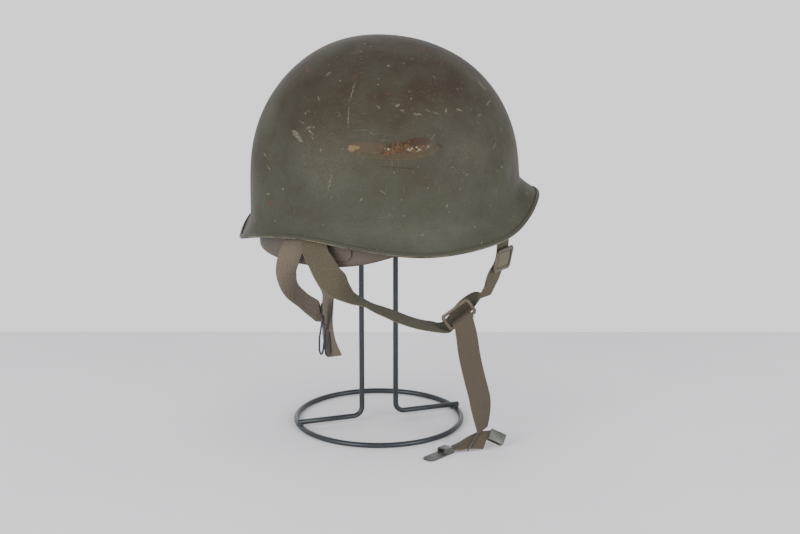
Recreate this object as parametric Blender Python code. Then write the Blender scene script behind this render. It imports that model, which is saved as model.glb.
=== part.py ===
"""Steel combat helmet over a fibre liner, with its web straps, on a wire stand.

Metres, +Z up, +X to the front of the helmet and -Y to the wearer's right. The table is the plane
z = 0, and the middle of the shell's length and width stands over the origin.
"""
import math

import bmesh
import bpy
from mathutils import Matrix, Vector

for item in list(bpy.data.objects):
    bpy.data.objects.remove(item, do_unlink=True)

# Shell: a pressed steel bowl whose lower edge runs out into a visor and a flare
SHELL_LENGTH = 0.2775
SHELL_WIDTH = 0.2385
SHELL_WALL = 0.0011
BOWL_LENGTH = 0.250
BOWL_WIDTH = 0.219
BOWL_SETBACK = 0.004
CROWN_RISE = 0.1272
CROWN_LEAN = 0.006
RIM_DROP = 0.062
WIDEST_HEIGHT = 0.244
PLAN_POWER = 2.15
DOME_POWER = 2.08
EDGE_STRIP_HEIGHT = 0.0024
EDGE_STRIP_WALL = 0.0006

# Liner: a moulded fibre bowl that fits inside the shell
LINER_WALL = 0.0023
LINER_SIDE_GAP = 0.0040
LINER_CROWN_GAP = 0.0007
LINER_DROP = 0.067
LINER_END_TAPER = 0.0030
LINER_SIDE_TAPER = 0.0020
LINER_PLATE_WIDTH = 0.020
LINER_PLATE_HEIGHT = 0.024
LINER_PLATE_WALL = 0.0012

# Web straps and their fittings
WEB_THICKNESS = 0.0016
CHIN_WEB_WIDTH = 0.020
YOKE_WEB_WIDTH = 0.025
SLIDE_BAR = 0.0036
SLIDE_OPENING = 0.0150
SLIDE_THICKNESS = 0.0024
BUCKLE_OPENING = 0.0105
BUCKLE_BAR = 0.0030
HOOK_WIRE = 0.0017
PLATE_THICKNESS = 0.0014
PLATE_LENGTH = 0.032
PLATE_WIDTH = 0.0125
BRIDGE_HEIGHT = 0.0052
BRIDGE_LENGTH = 0.0090
CLIP_LENGTH = 0.0150
CLIP_WIDTH = 0.0105
CLIP_DEPTH = 0.0066
CLIP_SHEET = 0.0012
CLIP_PIN = 0.0030

# Stand: round steel wire, welded
STAND_WIRE = 0.005
BASE_RING_RADIUS = 0.0785
CROWN_RING_RADIUS = 0.045
UPRIGHT_SPACING = 0.034
UPRIGHT_BEND = 0.0085
STAND_TURN = math.radians(19.5)
WELD_SINK = 0.0007

CLEARANCE = 0.0004
TABLE_GAP = 0.0002
AROUND = 56
LINER_AROUND = 44
DOME_ROWS = 10
WIRE_SIDES = 8
SLIDE_SECTION = 11
TAIL_SECTION = 22
FOOT_SECTION = 45

# Lower edge of the shell, by the angle from the front: drop as a share of RIM_DROP, the share of
# the drop at which the wall starts to flare, and how sharply it does
RIM = (
    # angle, drop, flare_from, sharpness
    (0, 0.32, 0.28, 1.2),
    (12, 0.35, 0.34, 1.2),
    (24, 0.49, 0.45, 1.3),
    (36, 0.65, 0.50, 1.5),
    (50, 0.74, 0.50, 1.8),
    (75, 0.81, 0.50, 2.0),
    (95, 0.735, 0.50, 2.0),
    (122, 0.60, 0.45, 2.0),
    (145, 0.70, 0.50, 2.0),
    (165, 0.88, 0.60, 2.0),
    (180, 1.00, 0.66, 2.0),
)
WALL_LEVELS = (0.2, 0.4, 0.55, 0.68, 0.8, 0.9, 1.0)

# Lower edge of the liner, by the same angle: drop as a share of LINER_DROP
LINER_RIM = (
    # angle, drop
    (0, 0.17),
    (25, 0.30),
    (45, 0.52),
    (65, 0.64),
    (84, 0.80),
    (97, 0.92),
    (112, 0.985),
    (140, 1.00),
    (180, 0.985),
)
LINER_LEVELS = (0.35, 0.7, 1.0)

# Strap routes: the share of the way from one named end to the other, then how far the web sags
# below and stands to the side of the straight line, as shares of its length, and how many degrees
# its face is turned from facing square to the side of the helmet
NEAR_CHIN_ROUTE = (
    # along, sag, side, turn
    (0.00, 0.00, 0.00, -34),
    (0.09, 0.12, 0.024, -32),
    (0.17, 0.20, -0.016, -4),
    (0.264, 0.246, -0.043, 20),
    (0.36, 0.26, -0.044, 35),
    (0.47, 0.239, -0.042, 50),
    (0.607, 0.187, -0.034, 65),
    (0.758, 0.124, -0.024, 64),
    (0.884, 0.066, -0.011, 58),
    (0.968, 0.024, -0.004, 53),
    (1.00, 0.00, 0.00, 53),
)
FAR_CHIN_ROUTE = (
    # along, sag, side, turn
    (0.00, 0.00, 0.00, 32),
    (0.116, 0.069, 0.00, 32),
    (0.215, 0.127, -0.003, 32),
    (0.32, 0.145, 0.005, 26),
    (0.42, 0.115, 0.012, 8),
    (0.535, 0.05, 0.01, -20),
    (0.65, -0.015, 0.00, -45),
    (0.74, -0.05, 0.015, -56),
    (0.83, -0.06, 0.03, -58),
    (0.92, -0.03, 0.025, -50),
    (1.00, 0.00, 0.00, -40),
)
YOKE_ROUTE = (
    # along, sag, side, turn
    (0.00, 0.00, 0.00, -22),
    (-0.014, 0.04, 0.014, -19),
    (-0.005, 0.104, 0.036, -17),
    (0.014, 0.15, 0.055, -12),
    (0.042, 0.212, 0.07, -4),
    (0.072, 0.255, 0.075, 22),
    (0.106, 0.293, 0.083, 55),
    (0.15, 0.333, 0.088, 78),
    (0.196, 0.362, 0.087, 90),
    (0.25, 0.402, 0.09, 90),
    (0.315, 0.439, 0.09, 86),
    (0.374, 0.472, 0.088, 84),
    (0.466, 0.52, 0.08, 86),
    (0.564, 0.561, 0.056, 88),
    (0.638, 0.582, 0.026, 84),
    (0.686, 0.56, 0.018, 74),
    (0.725, 0.52, 0.02, 66),
    (0.768, 0.479, 0.028, 70),
    (0.815, 0.44, 0.042, 84),
    (0.856, 0.416, 0.045, 112),
    (0.893, 0.378, 0.035, 124),
    (0.923, 0.334, 0.025, 124),
    (0.947, 0.292, 0.02, 118),
    (0.967, 0.246, 0.015, 118),
    (0.978, 0.193, 0.012, 118),
    (0.987, 0.115, 0.005, 118),
    (1.00, 0.00, 0.00, 118),
)
CHIN_HANG_ROUTE = (
    # along, sag, side, turn
    (0.00, 0.00, 0.00, 0),
    (0.15, -0.005, 0.00, 0),
    (0.32, 0.00, 0.00, 0),
    (0.52, -0.008, 0.00, 0),
    (0.72, -0.022, 0.00, 6),
    (0.88, -0.014, 0.00, 34),
    (1.00, 0.00, 0.00, 56),
)

# Folded end of the chin web, which lies on the table: each middle's place from its slide and the
# direction across the web there, both as shares of CHIN_WEB_WIDTH; it is gathered at its tip
END_WEB_ROUTE = (
    # forward, out, height, edge_forward, edge_out, edge_height
    (0.58, -0.12, -0.04, 0.35, 0.60, 0.72),
    (0.30, -0.06, -0.02, 0.45, 0.58, 0.68),
    (0.00, 0.00, 0.00, 0.50, 0.56, 0.66),
    (-0.28, 0.04, -0.09, 0.42, 0.64, 0.54),
    (-0.52, 0.06, -0.19, 0.25, 0.74, 0.34),
    (-0.76, 0.10, -0.28, 0.10, 0.66, 0.14),
    (-1.01, 0.17, -0.325, -0.12, 0.50, 0.00),
)

# Bent wires of the hook, as shares of its height down from the clasp and across from it
HOOK_FIRST_WIRE = ((0.00, 0.00), (0.00, 0.38), (-0.04, 0.62), (-0.045, 0.84), (-0.015, 0.97),
                   (0.02, 0.86), (0.035, 0.72), (0.06, 0.50), (0.11, 0.33), (0.115, 0.20))
HOOK_SECOND_WIRE = ((0.03, 0.22), (0.035, 0.36), (0.06, 0.50), (0.055, 0.70), (0.06, 0.90),
                    (0.095, 0.99), (0.13, 0.90), (0.13, 0.70), (0.115, 0.52))


def lookup(rows, position, flat_ends):
    """Values of a table at a position of its first column, on a smooth curve through its rows."""
    last = len(rows) - 1
    index = max(i for i in range(last) if i == 0 or rows[i][0] <= position)
    low, high = rows[index], rows[index + 1]
    span = high[0] - low[0]
    part = (position - low[0]) / span

    def slope(i, column):
        if i in (0, last):
            if flat_ends:
                return 0.0
            near = rows[1] if i == 0 else rows[last - 1]
            return (near[column] - rows[i][column]) / (near[0] - rows[i][0])
        return (rows[i + 1][column] - rows[i - 1][column]) / (rows[i + 1][0] - rows[i - 1][0])

    values = []
    for column in range(1, len(low)):
        start, end = slope(index, column) * span, slope(index + 1, column) * span
        rise = high[column] - low[column]
        values.append(low[column] + part * start + part ** 2 * (3 * rise - 2 * start - end)
                      + part ** 3 * (start + end - 2 * rise))
    return values


def material(name, colour, roughness, metallic):
    made = bpy.data.materials.new(name)
    made.use_nodes = True
    shader = made.node_tree.nodes["Principled BSDF"]
    shader.inputs["Base Color"].default_value = (*colour, 1.0)
    shader.inputs["Roughness"].default_value = roughness
    shader.inputs["Metallic"].default_value = metallic
    made.diffuse_color = (*colour, 1.0)
    return made


OLIVE_PAINT = material("olive_paint", (0.085, 0.090, 0.070), 0.65, 0.0)
WORN_STEEL = material("worn_steel", (0.30, 0.29, 0.25), 0.45, 0.9)
LINER_PAINT = material("liner_paint", (0.12, 0.105, 0.080), 0.7, 0.0)
BROWN_WEB = material("brown_web", (0.125, 0.105, 0.085), 0.9, 0.0)
GREEN_WEB = material("green_web", (0.105, 0.100, 0.065), 0.9, 0.0)
DARK_STEEL = material("dark_steel", (0.035, 0.040, 0.050), 0.4, 0.6)
DULL_METAL = material("dull_metal", (0.20, 0.19, 0.17), 0.45, 0.9)
ZINC = material("zinc", (0.33, 0.36, 0.36), 0.4, 0.9)


def add_mesh(name, vertices, faces, finish, smooth_angle=40.0):
    """One object from points and faces, its faces turned outwards."""
    mesh = bpy.data.meshes.new(name)
    shape = bmesh.new()
    corners = [shape.verts.new(point) for point in vertices]
    for face in faces:
        shape.faces.new([corners[i] for i in face])
    bmesh.ops.recalc_face_normals(shape, faces=shape.faces)
    shape.to_mesh(mesh)
    shape.free()
    mesh.shade_smooth()
    mesh.set_sharp_from_angle(angle=math.radians(smooth_angle))
    mesh.materials.append(finish)
    made = bpy.data.objects.new(name, mesh)
    bpy.context.collection.objects.link(made)
    return made


def oval(angle, half_length, half_width):
    """Point of an oval that is a little squarer than an ellipse."""
    across, along = math.sin(angle), math.cos(angle)
    reach = (abs(along) ** PLAN_POWER + abs(across) ** PLAN_POWER) ** (-1 / PLAN_POWER)
    return reach * along * half_length, reach * across * half_width


def lean(rise_share):
    """The flat top of the crown tips back, so the apex lies behind the middle of the bowl."""
    return CROWN_LEAN * rise_share ** 8


def dome_point(angle, row_angle, half_length, half_width, rise):
    """Point on a bowl above its widest line."""
    reach = math.cos(row_angle) ** (2 / DOME_POWER) if row_angle < math.pi / 2 else 0.0
    height = math.sin(row_angle) ** (2 / DOME_POWER)
    x, y = oval(angle, half_length * reach, half_width * reach)
    return Vector((x - BOWL_SETBACK - lean(height), y, WIDEST_HEIGHT + rise * height))


def shell_wall_point(angle, level):
    """Point on the outside of the shell below its widest line, at a share of the drop."""
    turned = math.degrees(math.acos(max(-1.0, min(1.0, math.cos(angle)))))
    drop, flare_from, sharpness = lookup(RIM, turned, True)
    wall_x, wall_y = oval(angle, BOWL_LENGTH / 2, BOWL_WIDTH / 2)
    rim_x, rim_y = oval(angle, SHELL_LENGTH / 2, SHELL_WIDTH / 2)
    flare = max(0.0, (level - flare_from) / (1 - flare_from)) ** sharpness
    wall_x -= BOWL_SETBACK
    return Vector((wall_x + (rim_x - wall_x) * flare, wall_y + (rim_y - wall_y) * flare,
                   WIDEST_HEIGHT - RIM_DROP * drop * level))


LINER_HALF_LENGTH = BOWL_LENGTH / 2 - SHELL_WALL - LINER_SIDE_GAP
LINER_HALF_WIDTH = BOWL_WIDTH / 2 - SHELL_WALL - LINER_SIDE_GAP
LINER_RISE = CROWN_RISE - SHELL_WALL - LINER_CROWN_GAP


def liner_wall_point(angle, depth):
    """Point on the outside of the liner, at a depth below the widest line."""
    share = depth / LINER_DROP
    x, y = oval(angle, LINER_HALF_LENGTH - LINER_END_TAPER * share,
                LINER_HALF_WIDTH - LINER_SIDE_TAPER * share)
    return Vector((x - BOWL_SETBACK, y, WIDEST_HEIGHT - depth))


def liner_edge_depth(angle):
    turned = math.degrees(math.acos(max(-1.0, min(1.0, math.cos(angle)))))
    return LINER_DROP * lookup(LINER_RIM, turned, True)[0]


def bowl(name, apex, rings, wall, finish):
    """Open bowl from its apex and its rings of points, thickened inwards."""
    count = len(rings[0])
    vertices = [apex] + [point for ring in rings for point in ring]
    faces = [(0, 1 + i, 1 + (i + 1) % count) for i in range(count)]
    for row in range(len(rings) - 1):
        for i in range(count):
            a, b = 1 + row * count, 1 + (row + 1) * count
            faces.append((a + i, b + i, b + (i + 1) % count, a + (i + 1) % count))
    made = add_mesh(name, vertices, faces, finish)
    thick = made.modifiers.new("wall", "SOLIDIFY")
    thick.thickness = wall
    thick.offset = -1.0
    thick.use_even_offset = True
    return made


def dome_rings(around, half_length, half_width, rise):
    angles = [2 * math.pi * i / around for i in range(around)]
    rings = []
    for row in range(1, DOME_ROWS + 1):
        row_angle = math.pi / 2 * (1 - row / DOME_ROWS)
        rings.append([dome_point(a, row_angle, half_length, half_width, rise) for a in angles])
    return rings


def build_shell():
    angles = [2 * math.pi * i / AROUND for i in range(AROUND)]
    rings = dome_rings(AROUND, BOWL_LENGTH / 2, BOWL_WIDTH / 2, CROWN_RISE)
    rings += [[shell_wall_point(a, level) for a in angles] for level in WALL_LEVELS]
    apex = dome_point(0.0, math.pi / 2, BOWL_LENGTH / 2, BOWL_WIDTH / 2, CROWN_RISE)
    bowl("shell", apex, rings, SHELL_WALL, OLIVE_PAINT)


def build_edge_strip():
    """Steel strip folded over the shell's lower edge, a U in section."""
    inner, outer = CLEARANCE, CLEARANCE + EDGE_STRIP_WALL
    far_inner, far_outer = -SHELL_WALL - inner, -SHELL_WALL - outer
    section = (
        # down the wall from the shell's edge, out from its outer face
        (-EDGE_STRIP_HEIGHT, inner), (-EDGE_STRIP_HEIGHT, outer), (outer, outer), (outer, far_outer),
        (-EDGE_STRIP_HEIGHT, far_outer), (-EDGE_STRIP_HEIGHT, far_inner), (inner, far_inner),
        (inner, inner),
    )
    step = 0.01
    vertices = []
    for i in range(AROUND):
        angle = 2 * math.pi * i / AROUND
        edge = shell_wall_point(angle, 1.0)
        down = (edge - shell_wall_point(angle, 1 - 10 * step)).normalized()
        along = (shell_wall_point(angle + step, 1.0) - shell_wall_point(angle - step, 1.0))
        out = along.cross(-down).normalized()
        down = out.cross(along).normalized() * (1 if out.cross(along).z < 0 else -1)
        vertices += [edge + down * depth + out * stand for depth, stand in section]
    count = len(section)
    faces = []
    for i in range(AROUND):
        a, b = i * count, (i + 1) % AROUND * count
        faces += [(a + k, a + (k + 1) % count, b + (k + 1) % count, b + k) for k in range(count)]
    add_mesh("edge_strip", vertices, faces, WORN_STEEL)


def build_liner():
    angles = [2 * math.pi * i / LINER_AROUND for i in range(LINER_AROUND)]
    rings = dome_rings(LINER_AROUND, LINER_HALF_LENGTH, LINER_HALF_WIDTH, LINER_RISE)
    rings += [[liner_wall_point(a, liner_edge_depth(a) * level) for a in angles]
              for level in LINER_LEVELS]
    apex = dome_point(0.0, math.pi / 2, LINER_HALF_LENGTH, LINER_HALF_WIDTH, LINER_RISE)
    bowl("liner", apex, rings, LINER_WALL, LINER_PAINT)


def build_liner_plate():
    """Round-ended plate riveted flat to the liner's side, its lower end just above the edge."""
    middle = math.radians(-109)
    bottom = liner_edge_depth(middle) - CLEARANCE * 16
    columns, rows = 6, 5
    half_angle = LINER_PLATE_WIDTH / LINER_HALF_LENGTH / 2
    vertices = []
    for stand in (CLEARANCE * 1.6, CLEARANCE * 1.6 + LINER_PLATE_WALL):
        for row in range(rows + 1):
            for column in range(columns + 1):
                side = 2 * column / columns - 1
                corner = 1 - math.sqrt(max(0.0, 1 - abs(side) ** 3))
                low = bottom - corner * LINER_PLATE_WIDTH * 0.28
                depth = low + (bottom - LINER_PLATE_HEIGHT - low) * row / rows
                angle = middle + side * half_angle
                point = liner_wall_point(angle, depth)
                out = Vector((math.cos(angle) / LINER_HALF_LENGTH, math.sin(angle) / LINER_HALF_WIDTH, 0))
                vertices.append(point + out.normalized() * stand)
    wide = columns + 1
    layer = wide * (rows + 1)
    faces = []
    for row in range(rows):
        for column in range(columns):
            a = row * wide + column
            quad = (a, a + 1, a + wide + 1, a + wide)
            faces.append(quad)
            faces.append(tuple(layer + i for i in reversed(quad)))
    border = [c for c in range(wide)] + [r * wide + columns for r in range(1, rows + 1)]
    border += [rows * wide + c for c in range(columns - 1, -1, -1)]
    border += [r * wide for r in range(rows - 1, 0, -1)]
    for i, a in enumerate(border):
        b = border[(i + 1) % len(border)]
        faces.append((a, b, b + layer, a + layer))
    add_mesh("liner_plate", vertices, faces, DULL_METAL, 30.0)


def rounded(points, radius, steps=5):
    """Polyline with each of its corners turned into an arc."""
    route = [points[0]]
    for before, corner, after in zip(points, points[1:], points[2:]):
        back, ahead = (before - corner).normalized(), (after - corner).normalized()
        half = back.angle(ahead) / 2
        inset = min(radius / math.tan(half), (before - corner).length * 0.49,
                    (after - corner).length * 0.49)
        bend = inset * math.tan(half)
        centre = corner + (back + ahead).normalized() * bend / math.sin(half)
        first, last = corner + back * inset - centre, corner + ahead * inset - centre
        axis = first.cross(last).normalized()
        sweep = first.angle(last)
        for step in range(steps + 1):
            route.append(centre + Matrix.Rotation(sweep * step / steps, 3, axis) @ first)
    return route + [points[-1]]


def wire(name, points, radius, finish, closed=False, up=Vector((0, 0, 1)), sides=WIRE_SIDES):
    """Round wire along a route, with a flat side of its section turned down."""
    count = len(points)
    vertices = []
    side = None
    for i, point in enumerate(points):
        ahead = points[(i + 1) % count] if closed or i + 1 < count else point
        behind = points[i - 1] if closed or i > 0 else point
        along = (ahead - behind).normalized()
        if side is None or closed:
            side = along.cross(up).normalized()
        side = (side - along * side.dot(along)).normalized()
        top = side.cross(along).normalized()
        for k in range(sides):
            turn = 2 * math.pi * (k + 0.5) / sides
            vertices.append(point + (side * math.cos(turn) + top * math.sin(turn)) * radius)
    faces = []
    for i in range(count if closed else count - 1):
        a, b = i * sides, (i + 1) % count * sides
        faces += [(a + k, a + (k + 1) % sides, b + (k + 1) % sides, b + k) for k in range(sides)]
    if not closed:
        faces.append(tuple(range(sides)))
        faces.append(tuple(range((count - 1) * sides, count * sides)))
    return add_mesh(name, vertices, faces, finish, 50.0)


def join_solids(base, others):
    """Welds closed solids that overlap into the first one."""
    for other in others:
        other.hide_render = True
        other.display_type = "WIRE"
        weld = base.modifiers.new("weld_" + other.name, "BOOLEAN")
        weld.operation = "UNION"
        weld.object = other


def crown_ring_height():
    """Height of the crown ring's wire where it bears on the inside of the liner."""
    inner_width, inner_rise = LINER_HALF_WIDTH - LINER_WALL, LINER_RISE - LINER_WALL

    def underside(reach):
        return WIDEST_HEIGHT + inner_rise * (1 - (reach / inner_width) ** DOME_POWER) ** (1 / DOME_POWER)

    probe = STAND_WIRE / 10
    fall = (underside(CROWN_RING_RADIUS) - underside(CROWN_RING_RADIUS + probe)) / probe
    bearing = (STAND_WIRE / 2 + LINER_CROWN_GAP) * math.sqrt(1 + fall ** 2)
    return underside(CROWN_RING_RADIUS) - bearing


def build_stand():
    """Base ring, two wires bent into feet, uprights and arms, and the ring that bears the liner."""
    radius = STAND_WIRE / 2
    centre = Vector((-BOWL_SETBACK - CROWN_LEAN, 0, 0))
    heading = Vector((math.cos(STAND_TURN), math.sin(STAND_TURN), 0))
    base_height = radius * math.cos(math.pi / WIRE_SIDES)
    crown_height = crown_ring_height()
    stacked = STAND_WIRE - WELD_SINK

    def ring(name, ring_radius, height, steps):
        points = []
        for i in range(steps):
            turn = 2 * math.pi * i / steps
            points.append(centre + Vector((ring_radius * math.cos(turn), ring_radius * math.sin(turn), height)))
        return wire(name, points, radius, DARK_STEEL, closed=True)

    base = ring("stand", BASE_RING_RADIUS, base_height, 48)
    welded = [ring("guide_crown_ring", CROWN_RING_RADIUS, crown_height, 32)]
    for name, side in (("guide_rear_wire", -1), ("guide_front_wire", 1)):
        foot, arm = base_height + stacked, crown_height - stacked
        upright = centre + heading * side * UPRIGHT_SPACING / 2
        corners = [
            centre + heading * side * (BASE_RING_RADIUS + radius) + Vector((0, 0, foot)),
            upright + Vector((0, 0, foot)),
            upright + Vector((0, 0, arm)),
            centre + heading * side * CROWN_RING_RADIUS + Vector((0, 0, arm)),
        ]
        welded.append(wire(name, rounded(corners, UPRIGHT_BEND), radius, DARK_STEEL))
    join_solids(base, welded)


def ribbon(name, centres, acrosses, width, finish, thickness=WEB_THICKNESS):
    """Flat web from the middles of its sections and the directions across it."""
    vertices = []
    last = len(centres) - 1
    for i, (centre, across) in enumerate(zip(centres, acrosses)):
        along = (centres[min(i + 1, last)] - centres[max(i - 1, 0)]).normalized()
        face = across.cross(along).normalized()
        for side, layer in ((-1, -1), (1, -1), (1, 1), (-1, 1)):
            vertices.append(centre + across * side * width / 2 + face * layer * thickness / 2)
    faces = [(0, 1, 2, 3), tuple(4 * last + k for k in range(4))]
    for i in range(last):
        a, b = 4 * i, 4 * (i + 1)
        faces += [(a + k, a + (k + 1) % 4, b + (k + 1) % 4, b + k) for k in range(4)]
    return add_mesh(name, vertices, faces, finish, 30.0)


def strap_sections(start, end, route, steps=3):
    """Middles and across directions of a strap that hangs between two points."""
    chord = end - start
    length = chord.length
    ahead = chord.normalized()
    side = ahead.cross(Vector((0, 0, 1))).normalized()
    if side.y > 0:
        side = -side
    lift = side.cross(ahead).normalized()
    if lift.z < 0:
        lift = -lift
    numbered = [(i, *row) for i, row in enumerate(route)]
    centres, turns = [], []
    for step in range((len(route) - 1) * steps + 1):
        along, sag, stand, turn = lookup(numbered, step / steps, False)
        centres.append(start + (ahead * along - lift * sag + side * stand) * length)
        turns.append(math.radians(turn))
    acrosses = []
    for i, turn in enumerate(turns):
        along = (centres[min(i + 1, len(centres) - 1)] - centres[max(i - 1, 0)]).normalized()
        square = Vector((0, -1, 0))
        square = (square - along * square.dot(along)).normalized()
        face = square * math.cos(turn) + square.cross(along) * math.sin(turn)
        acrosses.append(along.cross(face).normalized())
    return centres, acrosses


def liner_hug(angle, depth, webs_under=0):
    """Middle of a web that lies flat on the outside of the liner or of the webs under it."""
    out = Vector((math.cos(angle) / LINER_HALF_LENGTH, math.sin(angle) / LINER_HALF_WIDTH, 0)).normalized()
    stand = WEB_THICKNESS / 2 + CLEARANCE * 1.5 + webs_under * (WEB_THICKNESS + CLEARANCE * 1.5)
    return liner_wall_point(angle, depth) + out * stand


def frame_slide(name, centre, across, up, opening_width, opening_height, bar, thickness, finish):
    """Flat rectangular frame with an open middle, its corners cut off."""
    across, up = across.normalized(), up.normalized()
    up = (up - across * up.dot(across)).normalized()
    face = across.cross(up)
    chamfer = bar * 0.7

    def outline(half_wide, half_high, cut):
        points = []
        for sx, sy in ((1, 1), (-1, 1), (-1, -1), (1, -1)):
            first, second = (half_wide - cut, half_high), (half_wide, half_high - cut)
            if sx * sy > 0:
                first, second = second, first
            points += [(sx * first[0], sy * first[1]), (sx * second[0], sy * second[1])]
        return points

    inner = outline(opening_width / 2, opening_height / 2, chamfer * 0.4)
    outer = outline(opening_width / 2 + bar, opening_height / 2 + bar, chamfer)
    vertices = []
    for layer in (-thickness / 2, thickness / 2):
        for x, y in outer + inner:
            vertices.append(centre + across * x + up * y + face * layer)
    count = len(outer)
    faces = []
    for i in range(count):
        j = (i + 1) % count
        outer_low, inner_low = (i, j), (count + i, count + j)
        faces.append((outer_low[0], outer_low[1], inner_low[1], inner_low[0]))
        faces.append(tuple(2 * count + k for k in faces[-1]))
        faces.append((i, j, 2 * count + j, 2 * count + i))
        faces.append((count + i, count + j, 3 * count + j, 3 * count + i))
    return add_mesh(name, vertices, faces, finish, 30.0)


def web_step(forward, out, up):
    """Step from one place on the webs to the next, in shares of CHIN_WEB_WIDTH."""
    return Vector((forward, -out, up)) * CHIN_WEB_WIDTH


def below(place):
    """The point of the table under a place."""
    return Vector((place.x, place.y, 0))


# Where the straps start, under the shell, and where they meet
NEAR_CHIN_START = liner_hug(math.radians(-131), 0.328 * LINER_DROP)
FAR_CHIN_START = liner_hug(math.radians(125), 0.299 * LINER_DROP)
YOKE_REAR_START = liner_hug(math.radians(-119.5), 0.507 * LINER_DROP, 2)
YOKE_FRONT_START = liner_hug(math.radians(-27), 0.328 * LINER_DROP)
CLASP = Vector((-0.524 * BOWL_LENGTH / 2, -0.041 * BOWL_WIDTH / 2, WIDEST_HEIGHT - 1.0574 * CROWN_RISE))
TONGUE_END = CLASP + web_step(0.70, -0.075, -2.25)
YOKE = strap_sections(YOKE_REAR_START, YOKE_FRONT_START, YOKE_ROUTE)
YOKE_FOOT = YOKE[0][FOOT_SECTION]
JUNCTION_BAR_LOW = YOKE_FOOT + web_step(-0.103, 0.888, -0.138)
JUNCTION_BAR_HIGH = YOKE_FOOT + web_step(1.007, 0.738, 0.672)
END_SLIDE = below(YOKE_FOOT) + web_step(0.990, 0.920, 0.485)
CHIN_HANG_END = END_SLIDE + web_step(0.385, -0.30, 0.49)
PLATE_CENTRE = below(END_SLIDE) + web_step(-1.685, 0.85, 0)


def build_chin_loop():
    """The shell's own chin strap, in two lengths that meet behind the head, and their hook."""
    centres, acrosses = strap_sections(NEAR_CHIN_START, CLASP, NEAR_CHIN_ROUTE)
    ribbon("near_chin_strap", centres, acrosses, CHIN_WEB_WIDTH, BROWN_WEB)
    centres, acrosses = strap_sections(FAR_CHIN_START, TONGUE_END, FAR_CHIN_ROUTE)
    ribbon("far_chin_strap", centres, acrosses, CHIN_WEB_WIDTH, BROWN_WEB)

    corner = CLASP + Vector((HOOK_WIRE / 2 + 2.5 * CLEARANCE, 0, CHIN_WEB_WIDTH * 0.42))
    height = corner.z - TONGUE_END.z + HOOK_WIRE

    def bent(name, shares):
        points = [corner + Vector((across * height, 0, -down * height)) for across, down in shares]
        return wire(name, rounded(points, HOOK_WIRE * 1.5, 2), HOOK_WIRE / 2, DARK_STEEL,
                    up=Vector((0, 1, 0)), sides=6)

    join_solids(bent("hook_clasp", HOOK_FIRST_WIRE), [bent("guide_second_wire", HOOK_SECOND_WIRE)])


def build_yoke():
    """Wide web that runs from the liner's side down and up again to its temple, and its slide."""
    centres, acrosses = YOKE
    ribbon("yoke_strap", centres, acrosses, YOKE_WEB_WIDTH, GREEN_WEB)

    across = Vector((0.467, 0.88, -0.08)).normalized()
    up = Vector((0.20, 0.0, 1.0))
    up = (up - across * up.dot(across)).normalized()
    face = across.cross(up)
    seat = centres[len(centres) - SLIDE_SECTION]
    middle = seat + face * ((WEB_THICKNESS + SLIDE_THICKNESS) / 2 + CLEARANCE * 2)
    frame_slide("front_slide", middle, across, up, YOKE_WEB_WIDTH + 2 * CLEARANCE, SLIDE_OPENING,
                SLIDE_BAR, SLIDE_THICKNESS, DULL_METAL)
    tuck = (SLIDE_OPENING / 2 - CLEARANCE) * up
    swell = face * WEB_THICKNESS / 4
    fold = [middle - tuck, middle - tuck / 3 + swell, middle + tuck / 3 + swell, middle + tuck]
    ribbon("slide_fold", fold, [across] * len(fold), YOKE_WEB_WIDTH - 4 * CLEARANCE, BROWN_WEB)

    at = len(centres) - TAIL_SECTION
    edge = centres[at] + acrosses[at] * math.copysign(YOKE_WEB_WIDTH / 2, -acrosses[at].y)
    top = edge + Vector((0.0050, -WEB_THICKNESS - 3 * CLEARANCE, 0.0030))
    flat = Vector((0.93, 0.15, 0.30)).normalized()
    drop = Vector((-0.0050, -0.0006, -0.0105))
    ribbon("strap_tail", [top, top + drop / 2, top + drop], [flat] * 3, CHIN_WEB_WIDTH * 0.62, BROWN_WEB)


def build_junction():
    """Buckle at the bottom of the yoke and the chin web that hangs from its lower bar."""
    bar = JUNCTION_BAR_HIGH - JUNCTION_BAR_LOW
    across = bar.normalized()
    up = Vector((0.36, 0.20, 0.91))
    up = (up - across * up.dot(across)).normalized()
    face = across.cross(up)
    if face.y > 0:
        face = -face
    middle = (JUNCTION_BAR_LOW + JUNCTION_BAR_HIGH) / 2
    spacing = BUCKLE_OPENING + BUCKLE_BAR
    frame_slide("junction_buckle", middle + up * spacing / 2, across, up, bar.length - BUCKLE_BAR,
                BUCKLE_OPENING, BUCKLE_BAR, SLIDE_THICKNESS, DULL_METAL)

    reach = math.hypot(BUCKLE_BAR, SLIDE_THICKNESS) / 2 + CLEARANCE + WEB_THICKNESS / 2
    centres = [middle - face * reach - up * reach]
    for step in range(5):
        turn = math.pi * step / 4
        centres.append(middle + (up * math.sin(turn) - face * math.cos(turn)) * reach)
    acrosses = [across] * len(centres)
    hung, turned = strap_sections(centres[-1], CHIN_HANG_END, CHIN_HANG_ROUTE)
    for i, (centre, level) in enumerate(zip(hung[1:], turned[1:])):
        if level.dot(across) < 0:
            level = -level
        settled = min(1.0, (i + 1) / 5)
        centres.append(centre)
        acrosses.append((across * (1 - settled) + level * settled).normalized())
    ribbon("chin_strap", centres, acrosses, CHIN_WEB_WIDTH, BROWN_WEB)


def sheet_solid(name, outline, middle, along, out, width, finish):
    """Flat outline in the plane of two directions, given a width square to it."""
    square = along.cross(out).normalized()
    vertices = []
    for side in (-0.5, 0.5):
        vertices += [middle + along * x + out * y + square * side * width for x, y in outline]
    count = len(outline)
    faces = [tuple(range(count)), tuple(range(count, 2 * count))]
    faces += [(i, (i + 1) % count, count + (i + 1) % count, count + i) for i in range(count)]
    return add_mesh(name, vertices, faces, finish, 30.0)


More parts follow.
